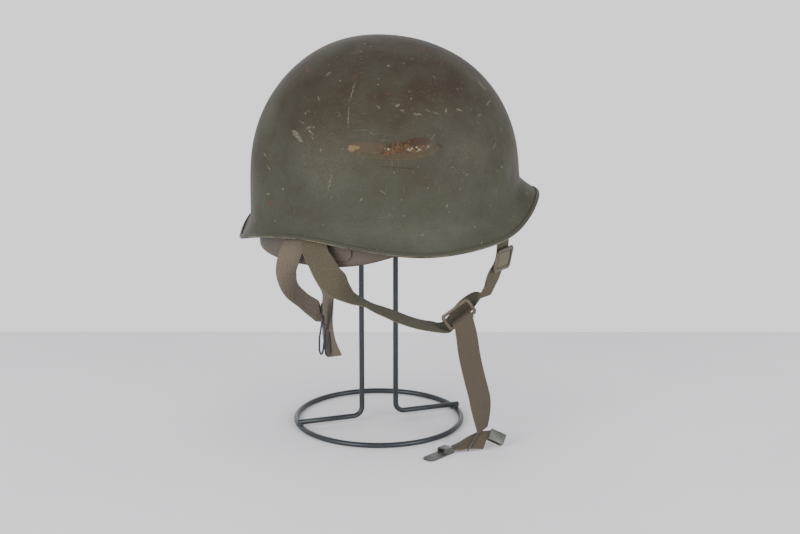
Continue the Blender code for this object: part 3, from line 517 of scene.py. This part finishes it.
shell = smooth_bowl("shell", "painted_shell", far_paint)
for name, low, high, gouged in ZONES:
    shell.data.materials.append(shell_paint(
        "matt_olive_paint_chipped_" + name, marks_in(PALE_MARKS, low, high),
        marks_in(RUST_MARKS, low, high), marks_in(DARK_MARKS, low, high), gouged))
for face in shell.data.polygons:
    if face.center.y < 0:
        forward = face.center.x * 1000
        face.material_index = 1 + next(i for i, zone in enumerate(ZONES) if zone[1] <= forward < zone[2])
for vertex in shell.data.vertices:
    point = vertex.co
    if point.y < 0:
        away = math.hypot((point.x - DENT_MIDDLE.x) / DENT_HALF_LONG,
                          (point.z - DENT_MIDDLE.z) / DENT_HALF_TALL)
        if away < 1:
            inward = Vector((-point.x, -point.y, 0)).normalized()
            point += inward * DENT_DEPTH * (1 - away ** 2) ** 2
    ripple = noise.noise(point * RIPPLES_PER_METRE) * RIPPLE_DEPTH
    outward = Vector((point.x, point.y, point.z - BOWL_MIDDLE_HEIGHT)).normalized()
    point += outward * min(ripple, 0.0)

# Edge strip: thin stainless strip folded over the shell's cut edge and painted with it. Its lower
# fold is rubbed through to pale metal nearly all round.
STRIP_WEAR_PER_METRE = 70.0

# Olive like the shell, with a thin pale line of rubbed steel along the fold
rubbed, tree, shader = new_finish("rubbed_paint_on_steel_edge_strip")
place = add_node(tree, "TexCoord", {}).outputs["Object"]
wear = add_node(tree, "TexNoise", {"Vector": place, "Scale": STRIP_WEAR_PER_METRE,
                                  "Detail": 6.0, "Roughness": 0.7})
facing = add_node(tree, "SeparateXYZ", {"Vector": add_node(tree, "NewGeometry", {}).outputs["Normal"]})
fold = add_node(tree, "MapRange", {"Value": facing.outputs["Z"], "From Min": 0.05, "From Max": -0.30})
under = add_node(tree, "MapRange", {"Value": facing.outputs["Z"], "From Min": -0.88, "From Max": -0.55})
fold = add_node(tree, "Math", {0: fold, 1: under}, operation="MULTIPLY")
worn = add_node(tree, "MapRange", {"Value": wear, "From Min": 0.40, "From Max": 0.58})
worn = add_node(tree, "Math", {0: worn, 1: fold}, operation="MULTIPLY")
tone = add_node(tree, "MixRGB", {"Fac": worn, "Color1": linear("#39382d"), "Color2": linear("#857b63")})
tree.links.new(tone.outputs[0], shader.inputs["Base Color"])
bright = add_node(tree, "Math", {0: worn, 1: 0.4}, operation="MULTIPLY")
tree.links.new(bright.outputs[0], shader.inputs["Metallic"])
shader.inputs["Roughness"].default_value = 0.58
shader.inputs["Specular IOR Level"].default_value = 0.3
bump = add_node(tree, "Bump", {"Height": wear, "Strength": 0.3, "Distance": 0.0003})
tree.links.new(bump.outputs[0], shader.inputs["Normal"])
smooth_bowl("edge_strip", "folded_edge_strip", rubbed)

# Liner: layers of cotton duck and resin moulded to a bowl that sits inside the shell, painted a dull
# brown-grey, with painted shade on the faces that point down, such as its lower cut edge.
LINER_CLOUDS_PER_METRE = 30.0
CLOTH_GRAIN_PER_METRE = 700.0

# Soft brown-grey with a faint grain of cloth under the paint, and painted shade on the faces that point
# down, such as the cut edge
liner_paint, tree, shader = new_finish("dull_paint_on_moulded_fibre")
place = add_node(tree, "TexCoord", {}).outputs["Object"]
clouds = add_node(tree, "TexNoise", {"Vector": place, "Scale": LINER_CLOUDS_PER_METRE,
                                    "Detail": 6.0, "Roughness": 0.6})
cloth = add_node(tree, "TexNoise", {"Vector": place, "Scale": CLOTH_GRAIN_PER_METRE, "Detail": 2.0})
tone = add_node(tree, "MixRGB", {"Fac": clouds, "Color1": linear("#3f362c"), "Color2": linear("#50483d")})
grain = add_node(tree, "MapRange", {"Value": cloth, "From Min": 0.3, "From Max": 0.7,
                                    "To Min": 0.9, "To Max": 1.1})
tone = add_node(tree, "MixRGB", {"Fac": 1.0, "Color1": tone, "Color2": grain}, blend_type="MULTIPLY")
facing = add_node(tree, "SeparateXYZ", {"Vector": add_node(tree, "NewGeometry", {}).outputs["Normal"]})
# Painted shade: faces that point down, the lower cut edge among them, are darkened
downward_shade = add_node(tree, "MapRange", {"Value": facing.outputs["Z"], "From Min": -0.35,
                                       "From Max": -0.75})
tone = add_node(tree, "MixRGB", {"Fac": downward_shade, "Color1": tone, "Color2": linear("#25201a")})
tree.links.new(tone.outputs[0], shader.inputs["Base Color"])
shader.inputs["Roughness"].default_value = 0.62
bump = add_node(tree, "Bump", {"Height": cloth, "Strength": 0.35, "Distance": 0.0004})
tree.links.new(bump.outputs[0], shader.inputs["Normal"])
smooth_bowl("liner", "moulded_liner", liner_paint)

# Small pressed fittings: slides, buckle, plate and clip, stamped from sheet steel, deburred, and
# painted or plated. Handling has rubbed their edges bright.
TARNISH_PER_METRE = 130.0
PITS_PER_METRE = 900.0


def metal_fitting_finish(name, coat, shadow, bright_metal, gloss, bare_share):
    """Coated steel that is bright where it is rubbed and dull in its pits."""
    made, tree, shader = new_finish(name)
    place = add_node(tree, "TexCoord", {}).outputs["Object"]
    clouds = add_node(tree, "TexNoise", {"Vector": place, "Scale": TARNISH_PER_METRE, "Detail": 6.0,
                                         "Roughness": 0.65})
    pits = add_node(tree, "TexNoise", {"Vector": place, "Scale": PITS_PER_METRE, "Detail": 2.0})
    tone = add_node(tree, "MixRGB", {"Fac": clouds, "Color1": linear(shadow), "Color2": linear(coat)})
    edge = add_node(tree, "NewGeometry", {}).outputs["Pointiness"]
    edge = add_node(tree, "MapRange", {"Value": edge, "From Min": 0.52, "From Max": 0.60})
    rub = add_node(tree, "MapRange", {"Value": clouds, "From Min": 0.46, "From Max": 0.66,
                                      "To Max": bare_share})
    bare = add_node(tree, "Math", {0: edge, 1: rub}, operation="MULTIPLY")
    tone = add_node(tree, "MixRGB", {"Fac": bare, "Color1": tone, "Color2": linear(bright_metal)})
    tree.links.new(tone.outputs[0], shader.inputs["Base Color"])
    metal = add_node(tree, "MapRange", {"Value": bare, "To Min": 0.25, "To Max": 0.95})
    tree.links.new(metal.outputs[0], shader.inputs["Metallic"])
    shader.inputs["Roughness"].default_value = gloss
    bump = add_node(tree, "Bump", {"Height": pits, "Strength": 0.35, "Distance": 0.0003})
    tree.links.new(bump.outputs[0], shader.inputs["Normal"])
    return made


def fitting(node, name, finish, bevel):
    """Copy of a stamped part with its flat faces made whole and its edges rounded."""
    shape = cad_shape(node)
    bmesh.ops.dissolve_limit(shape, angle_limit=math.radians(1.0), verts=shape.verts, edges=shape.edges)
    mesh = bpy.data.meshes.new(name)
    shape.to_mesh(mesh)
    shape.free()
    mesh.materials.clear()
    mesh.materials.append(finish)
    mesh.shade_smooth()
    made = bpy.data.objects.new(name, mesh)
    scene.collection.objects.link(made)
    soften = made.modifiers.new("soften", "BEVEL")
    soften.width = bevel
    soften.segments = 3
    soften.limit_method = "ANGLE"
    soften.angle_limit = math.radians(28)
    soften.harden_normals = True
    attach(made, "root")
    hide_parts(node)
    return made


# Brown paint with a low sheen, rubbed to bright steel at corners and edges
painted_metal = metal_fitting_finish("rubbed_brown_paint_on_steel_fittings", "#524938", "#393126",
                                     "#8f8775", 0.46, 0.9)
# Zinc gone dull: an even grey that catches only soft highlights
dull_zinc = metal_fitting_finish("dull_zinc_plate_on_steel_sheet", "#4f524c", "#373a36", "#858880",
                                 0.42, 0.7)
# Rust all over the pin: rough orange-brown with hardly a shine
rusty_pin = metal_fitting_finish("rusted_steel_pin", "#64441f", "#402b1a", "#7a6140", 0.7, 0.3)
fitting("liner_plate", "riveted_liner_plate", liner_paint, 0.0003)
fitting("front_slide", "front_web_slide", painted_metal, 0.0007)
fitting("junction_buckle", "two_bar_buckle", painted_metal, 0.0006)
fitting("hook_plate", "hook_end_plate", dull_zinc, 0.0003)
fitting("end_slide", "web_end_slide", dull_zinc, 0.00025)
fitting("end_clip", "web_end_clip", dull_zinc, 0.00025)
fitting("clip_pin", "web_end_pin", rusty_pin, 0.0002)

# Stand: 5 mm round steel wire, bent and resistance-welded, dipped in a dark blue-grey enamel that
# runs a little thick round each weld.
WIRE = 0.005
# A hair under the wire's radius, so that the enamel stays inside the CAD solid
ENAMELLED_RADIUS = WIRE / 2 * 0.99
STAND_MIDDLE_X = -0.010
BASE_RING = 0.0785
CROWN_RING = 0.045
UPRIGHT_HALF_GAP = 0.017
BEND = 0.0085
STAND_TURN = math.radians(19.5)
BASE_HEIGHT = 0.00248
FOOT_HEIGHT = 0.00661
CROWN_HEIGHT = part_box("stand")[1].z - 0.00231
STACKED = 0.0043
WELD_BEAD = (0.0030, 0.0030, 0.0018)
RUNS_PER_METRE = 160.0
ENAMEL_SCUFFS_PER_METRE = 900.0

# Smooth, nearly black blue-grey, with soft highlights that run along the wire
enamel, tree, shader = new_finish("dark_enamel_on_steel_wire")
place = add_node(tree, "TexCoord", {}).outputs["Object"]
runs = add_node(tree, "TexNoise", {"Vector": place, "Scale": RUNS_PER_METRE, "Detail": 4.0})
scuffs = add_node(tree, "TexNoise", {"Vector": place, "Scale": ENAMEL_SCUFFS_PER_METRE,
                                    "Detail": 2.0})
tone = add_node(tree, "MixRGB", {"Fac": runs, "Color1": linear("#1b2025"), "Color2": linear("#2c3338")})
tree.links.new(tone.outputs[0], shader.inputs["Base Color"])
gloss = add_node(tree, "MapRange", {"Value": scuffs, "To Min": 0.30, "To Max": 0.46})
tree.links.new(gloss.outputs[0], shader.inputs["Roughness"])
shader.inputs["Metallic"].default_value = 0.15
bump = add_node(tree, "Bump", {"Height": runs, "Strength": 0.2, "Distance": 0.0004})
tree.links.new(bump.outputs[0], shader.inputs["Normal"])


def wire_tube(points, radius, closed=False, sides=16):
    """Points and faces of a round wire along a route."""
    count = len(points)
    skin, faces = [], []
    side = None
    for i, point in enumerate(points):
        ahead = points[(i + 1) % count] if closed or i + 1 < count else point
        behind = points[i - 1] if closed or i else point
        along = (ahead - behind).normalized()
        if side is None:
            side = along.orthogonal()
        side = (side - along * side.dot(along)).normalized()
        top = side.cross(along)
        for k in range(sides):
            turn = 2 * math.pi * k / sides
            skin.append(point + (side * math.cos(turn) + top * math.sin(turn)) * radius)
    for i in range(count if closed else count - 1):
        a, b = i * sides, (i + 1) % count * sides
        faces += [(a + k, a + (k + 1) % sides, b + (k + 1) % sides, b + k) for k in range(sides)]
    if not closed:
        faces += [tuple(range(sides)), tuple(range((count - 1) * sides, count * sides))]
    return skin, faces


def bent_route(corners, radius, steps=10):
    """Route through corners that are bent to a radius."""
    route = [corners[0]]
    for before, corner, after in zip(corners, corners[1:], corners[2:]):
        back, ahead = (before - corner).normalized(), (after - corner).normalized()
        half = back.angle(ahead) / 2
        inset = radius / math.tan(half)
        centre = corner + (back + ahead).normalized() * radius / math.sin(half)
        first, last = corner + back * inset - centre, corner + ahead * inset - centre
        axis, sweep = first.cross(last).normalized(), first.angle(last)
        for step in range(steps + 1):
            route.append(centre + Matrix.Rotation(sweep * step / steps, 3, axis) @ first)
    return route + [corners[-1]]


def merge_parts(name, parts, finish):
    """One mesh piece from several sets of points and faces."""
    points, faces = [], []
    for skin, skin_faces in parts:
        faces += [tuple(i + len(points) for i in face) for face in skin_faces]
        points += skin
    return mesh_piece(name, points, faces, finish)


def weld_bead(middle, sizes, seed):
    """Points and faces of a lump of weld, rounded and uneven."""
    shape = bmesh.new()
    bmesh.ops.create_icosphere(shape, subdivisions=3, radius=1.0)
    for vertex in shape.verts:
        lump = 1 + 0.10 * noise.noise(vertex.co * 2.1 + Vector((seed, 0, 0)))
        vertex.co = Vector(v * s for v, s in zip(vertex.co * lump, sizes)) + middle
    points = [v.co.copy() for v in shape.verts]
    faces = [tuple(v.index for v in f.verts) for f in shape.faces]
    shape.free()
    return points, faces


def ring_route(radius, height, steps):
    """Points of a level ring round the stand's middle."""
    return [Vector((STAND_MIDDLE_X + radius * math.cos(2 * math.pi * i / steps),
                    radius * math.sin(2 * math.pi * i / steps), height)) for i in range(steps)]


heading = Vector((math.cos(STAND_TURN), math.sin(STAND_TURN), 0))
stand_middle = Vector((STAND_MIDDLE_X, 0, 0))
parts = [wire_tube(ring_route(BASE_RING, BASE_HEIGHT, 144), ENAMELLED_RADIUS, closed=True),
         wire_tube(ring_route(CROWN_RING, CROWN_HEIGHT, 96), ENAMELLED_RADIUS, closed=True)]
for side in (-1, 1):
    low, high = FOOT_HEIGHT, CROWN_HEIGHT - STACKED
    foot = stand_middle + heading * side * (BASE_RING + WIRE / 2)
    upright = stand_middle + heading * side * UPRIGHT_HALF_GAP
    arm = stand_middle + heading * side * CROWN_RING
    corners = [foot + Vector((0, 0, low)), upright + Vector((0, 0, low)),
               upright + Vector((0, 0, high)), arm + Vector((0, 0, high))]
    parts.append(wire_tube(bent_route(corners, BEND), ENAMELLED_RADIUS))
    crossing = stand_middle + heading * side * BASE_RING + Vector((0, 0, BASE_HEIGHT + STACKED / 2))
    parts.append(weld_bead(crossing, WELD_BEAD, side + 2))
    joint = (stand_middle + heading * side * CROWN_RING * 0.985
             + Vector((0, 0, CROWN_HEIGHT - STACKED / 2)))
    parts.append(weld_bead(joint, WELD_BEAD, side + 7))
stand = merge_parts("wire_stand", parts, enamel)
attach(stand, "root")
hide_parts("stand")

# Webs: flat cotton webbing. The brown chin webs are plain, with close lengthwise cords; the wide
# green one has a heavier rib with a twill set across it. The threads lie 0.5 mm apart; they are
# drawn about three times as coarse, or they wouldn't show.
WEB_THICKNESS = 0.0016
FUZZ_PER_METRE = 800.0
STAINS_PER_METRE = 45.0


def web_sections(node):
    """Left and right middles of a web's sections, in order, with the directions out of its face."""
    shape = cad_shape(node)
    shape.verts.index_update()
    owner, selvedges = {}, []
    for edge in shape.edges:
        if abs(edge.calc_length() - WEB_THICKNESS) < 5e-6:
            for vertex in edge.verts:
                owner[vertex.index] = len(selvedges)
            selvedges.append([v.co.copy() for v in edge.verts])
    bonds = {}
    for edge in shape.edges:
        pair = frozenset(owner.get(v.index) for v in edge.verts)
        if len(pair) == 2 and None not in pair:
            bonds[pair] = bonds.get(pair, 0) + 1
    shape.free()
    next_to = [[] for _ in selvedges]
    for pair, edges in bonds.items():
        if edges >= 3:
            one, other = pair
            next_to[one].append(other)
            next_to[other].append(one)
    ring = [min(range(len(selvedges)), key=lambda i: (len(next_to[i]), i))]
    while ring[-1] is not None:
        ring.append(next((i for i in next_to[ring[-1]] if i not in ring), None))
    ring.pop()
    count = len(ring)

    def is_end(k):
        return all(frozenset((ring[(k - j) % count], ring[(k + 1 + j) % count])) in bonds
                   for j in range(count // 2 - 1))

    start = next(k for k in range(count) if is_end(k))
    lefts, rights, outs = [], [], []
    for j in range(count // 2):
        left, right = selvedges[ring[(start - j) % count]], selvedges[ring[(start + 1 + j) % count]]
        lefts.append((left[0] + left[1]) / 2)
        rights.append((right[0] + right[1]) / 2)
        out = (left[1] - left[0]).normalized()
        if outs and out.dot(outs[-1]) < 0:
            out = -out
        outs.append(out)
    loose = [sum(selvedges[i], Vector()) / 2 for i in range(len(selvedges)) if i not in ring]
    if loose:
        # A straight stretch at the web's end, whose last section stands apart from the chain
        if (loose[0] - lefts[0]).length < (loose[0] - lefts[-1]).length:
            lefts, rights, outs = lefts[::-1], rights[::-1], outs[::-1]
        loose.sort(key=lambda place: (place - lefts[-1]).length)
        lefts.append(loose[0])
        rights.append(loose[1])
        outs.append(outs[-1])
    return lefts, rights, outs


def between(points, index, part):
    """Point of the smooth curve through some points."""
    last = len(points) - 1
    p0, p1 = points[max(index - 1, 0)], points[index]
    p2, p3 = points[min(index + 1, last)], points[min(index + 2, last)]
    return 0.5 * (2 * p1 + (p2 - p0) * part + (2 * p0 - 5 * p1 + 4 * p2 - p3) * part ** 2
                  + (3 * p1 - p0 - 3 * p2 + p3) * part ** 3)


def woven_web(node, name, finish, ribs, rib_height, step=0.0015, columns=30, tuck=0.0):
    """Web rebuilt finely on its CAD sections, ribbed and round at its selvedges, with its UV map in mm.

    Its lower end runs on by the tuck, under the fold or hook that takes it.
    """
    lefts, rights, outs = web_sections(node)
    if tuck:
        if lefts[0].z < lefts[-1].z:
            lefts, rights, outs = lefts[::-1], rights[::-1], outs[::-1]
        for line in (lefts, rights):
            line.append(line[-1] + (line[-1] - line[-2]).normalized() * tuck)
        outs.append(outs[-1])
    rows = []
    for i in range(len(lefts) - 1):
        gap = ((lefts[i + 1] + rights[i + 1]) - (lefts[i] + rights[i])).length / 2
        cuts = max(1, round(gap / step))
        rows += [(i, k / cuts) for k in range(cuts)]
    rows.append((len(lefts) - 2, 1.0))
    left_line = [between(lefts, *row) for row in rows]
    right_line = [between(rights, *row) for row in rows]
    out_line = [between(outs, *row) for row in rows]
    shares = [-math.cos(math.pi * k / columns) for k in range(columns + 1)]
    shares = [0.25 * s + 0.75 * (2 * k / columns - 1) for k, s in enumerate(shares)]
    loop = [(s, 1) for s in shares] + [(s, -1) for s in reversed(shares[1:-1])]
    points, places = [], []
    travelled = 0.0
    previous = None
    for left, right, out in zip(left_line, right_line, out_line):
        middle, across = (left + right) / 2, (right - left)
        out = (out - across * out.dot(across) / across.length_squared).normalized()
        if previous is not None:
            travelled += (middle - previous).length
        previous = middle
        for share, layer in loop:
            swell = (1 - abs(share) ** 9) ** 0.5
            rib = rib_height * (math.cos(math.pi * ribs * (share + 1)) - 1) / 2
            lift = layer * swell * (WEB_THICKNESS / 2 + rib)
            points.append(middle + across * share / 2 + out * lift)
            places.append(((share + 1) / 2 * across.length * 1000, travelled * 1000))
    around = len(loop)
    faces = []
    for row in range(len(rows) - 1):
        a, b = row * around, (row + 1) * around
        faces += [(a + k, a + (k + 1) % around, b + (k + 1) % around, b + k) for k in range(around)]
    faces += [tuple(range(around)), tuple(range((len(rows) - 1) * around, len(rows) * around))]
    made = mesh_piece(name, points, faces, finish)
    layer = made.data.uv_layers.new(name="thread_mm")
    for corner in made.data.loops:
        layer.data[corner.index].uv = places[corner.vertex_index]
    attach(made, "root")
    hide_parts(node)
    return made


def webbing_finish(name, thread, gap_colour, dusty, ribs_mm, picks_mm, slant, strength, selvedge):
    """Woven cotton: cords along the web, picks across them that step aside from cord to cord."""
    made, tree, shader = new_finish(name)
    threads = add_node(tree, "SeparateXYZ", {"Vector": add_node(tree, "TexCoord", {}).outputs["UV"]})
    place = add_node(tree, "TexCoord", {}).outputs["Object"]
    cord = add_node(tree, "Math", {0: threads.outputs["X"], 1: 2 * math.pi / ribs_mm},
                    operation="MULTIPLY")
    cord = add_node(tree, "Math", {0: cord}, operation="SINE")
    aslant = add_node(tree, "Math", {0: threads.outputs["X"], 1: slant}, operation="MULTIPLY")
    pick = add_node(tree, "Math", {0: threads.outputs["Y"], 1: aslant}, operation="ADD")
    pick = add_node(tree, "Math", {0: pick, 1: 2 * math.pi / picks_mm}, operation="MULTIPLY")
    pick = add_node(tree, "Math", {0: pick}, operation="SINE")
    weave = add_node(tree, "Math", {0: cord, 1: pick}, operation="ADD")
    fuzz = add_node(tree, "TexNoise", {"Vector": place, "Scale": FUZZ_PER_METRE, "Detail": 3.0})
    fuzz = add_node(tree, "MapRange", {"Value": fuzz, "To Min": -0.9, "To Max": 0.9})
    weave = add_node(tree, "Math", {0: weave, 1: fuzz}, operation="ADD")
    crest = add_node(tree, "MapRange", {"Value": weave, "From Min": -1.8, "From Max": 1.8,
                                        "To Min": 0.5 - strength / 2, "To Max": 0.5 + strength / 2})
    tone = add_node(tree, "MixRGB", {"Fac": crest, "Color1": linear(gap_colour),
                                     "Color2": linear(thread)})
    stains = add_node(tree, "TexNoise", {"Vector": place, "Scale": STAINS_PER_METRE, "Detail": 4.0})
    stain = add_node(tree, "MapRange", {"Value": stains, "From Min": 0.35, "From Max": 0.75,
                                        "To Max": 0.5})
    tone = add_node(tree, "MixRGB", {"Fac": stain, "Color1": tone, "Color2": linear(dusty)})
    worn = add_node(tree, "MapRange", {"Value": threads.outputs["X"], "From Min": 0.9,
                                       "From Max": 0.2, "To Max": selvedge})
    tone = add_node(tree, "MixRGB", {"Fac": worn, "Color1": tone, "Color2": linear("#756c59")})
    tree.links.new(tone.outputs[0], shader.inputs["Base Color"])
    shader.inputs["Roughness"].default_value = 0.88
    shader.inputs["Specular IOR Level"].default_value = 0.2
    shader.inputs["Sheen Weight"].default_value = 0.1
    shader.inputs["Sheen Roughness"].default_value = 0.5
    bump = add_node(tree, "Bump", {"Height": weave, "Strength": 0.35, "Distance": 0.0004})
    tree.links.new(bump.outputs[0], shader.inputs["Normal"])
    return made


# Matt brown with a faint check of cords and picks
brown_cotton = webbing_finish("brown_cotton_webbing", "#534b3f", "#3f382e", "#484136", 1.6, 1.4, 0.0,
                              0.6, 0.5)
# The same weave bleached paler, with more of its cords showing
faded_cotton = webbing_finish("faded_brown_cotton_webbing", "#6c6254", "#4e463b", "#5d5447", 1.6, 1.4, 0.0,
                              0.7, 0.4)
# Olive with fine slanting ribs, the strongest pattern of the four
green_cotton = webbing_finish("olive_twill_cotton_webbing", "#5a5443", "#393527", "#494436", 2.1,
                              1.8, 1.0, 0.9, 0.3)
# Paler olive without the slant, smoother than the rest
plain_cotton = webbing_finish("plain_olive_cotton_webbing", "#6a634f", "#4a4536", "#565040", 1.6, 1.4,
                              0.0, 0.5, 0.3)
woven_web("near_chin_strap", "near_chin_web", faded_cotton, 9, 0.00010, tuck=0.0035)
woven_web("far_chin_strap", "far_chin_web", faded_cotton, 9, 0.00010)
woven_web("yoke_strap", "yoke_web", green_cotton, 12, 0.00022, columns=48)
woven_web("chin_strap", "hanging_chin_web", brown_cotton, 9, 0.00010, tuck=0.0025)
woven_web("slide_fold", "web_folded_in_slide", plain_cotton, 11, 0.00015)
woven_web("strap_tail", "web_tail", brown_cotton, 6, 0.00010, step=0.0010)
woven_web("end_web", "gathered_web_end", brown_cotton, 9, 0.00010, step=0.0010)

# Hook clasp: two bent pieces of 1.7 mm spring wire that hook the two chin webs together, in the
# same dark enamel as the stand.
ROUNDING_LOSS = 0.00018

clasp_shape = cad_shape("hook_clasp")
clasp_mesh = bpy.data.meshes.new("wire_hook_clasp")
clasp_shape.to_mesh(clasp_mesh)
clasp_shape.free()
clasp_mesh.materials.clear()
clasp_mesh.materials.append(enamel)
clasp_mesh.shade_smooth()
clasp = bpy.data.objects.new("wire_hook_clasp", clasp_mesh)
scene.collection.objects.link(clasp)
finer = clasp.modifiers.new("finer", "SUBSURF")
finer.levels = finer.render_levels = 2
# The rounding takes a little off the wire, and this puts it back
fuller = clasp.modifiers.new("fuller", "DISPLACE")
fuller.strength = ROUNDING_LOSS
fuller.mid_level = 0.0
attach(clasp, "root")
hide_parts("hook_clasp")

low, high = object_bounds()
